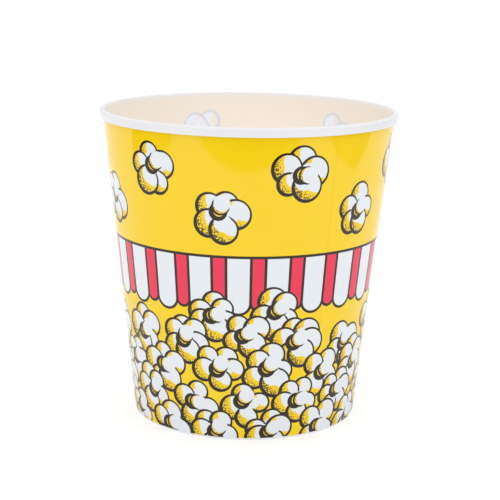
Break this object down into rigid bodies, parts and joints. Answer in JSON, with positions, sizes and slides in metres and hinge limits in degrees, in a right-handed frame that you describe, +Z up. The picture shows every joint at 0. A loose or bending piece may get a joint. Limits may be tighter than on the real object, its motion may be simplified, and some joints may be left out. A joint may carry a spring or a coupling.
{
  "type": "popcorn bucket",
  "caption": "Empty round tapered plastic bucket for popcorn, with a white rim band, a flat ringed foot and a printed yellow film round the wall.",
  "frame": {"origin": "centre of the base, on the plane that the foot ring stands on", "axes": "+Z up along the bucket's axis, out of its mouth; +X to the right and +Y away from whoever faces the front of the print"},
  "size_m": [0.184, 0.184, 0.1915],
  "materials": {
    "white_plastic": "satin white polypropylene, slightly translucent",
    "printed_film": "glossy printed film, mainly golden yellow"
  },
  "bodies": {
    "root": {"bucket": "white_plastic", "label": "printed_film"}
  },
  "joints": []
}
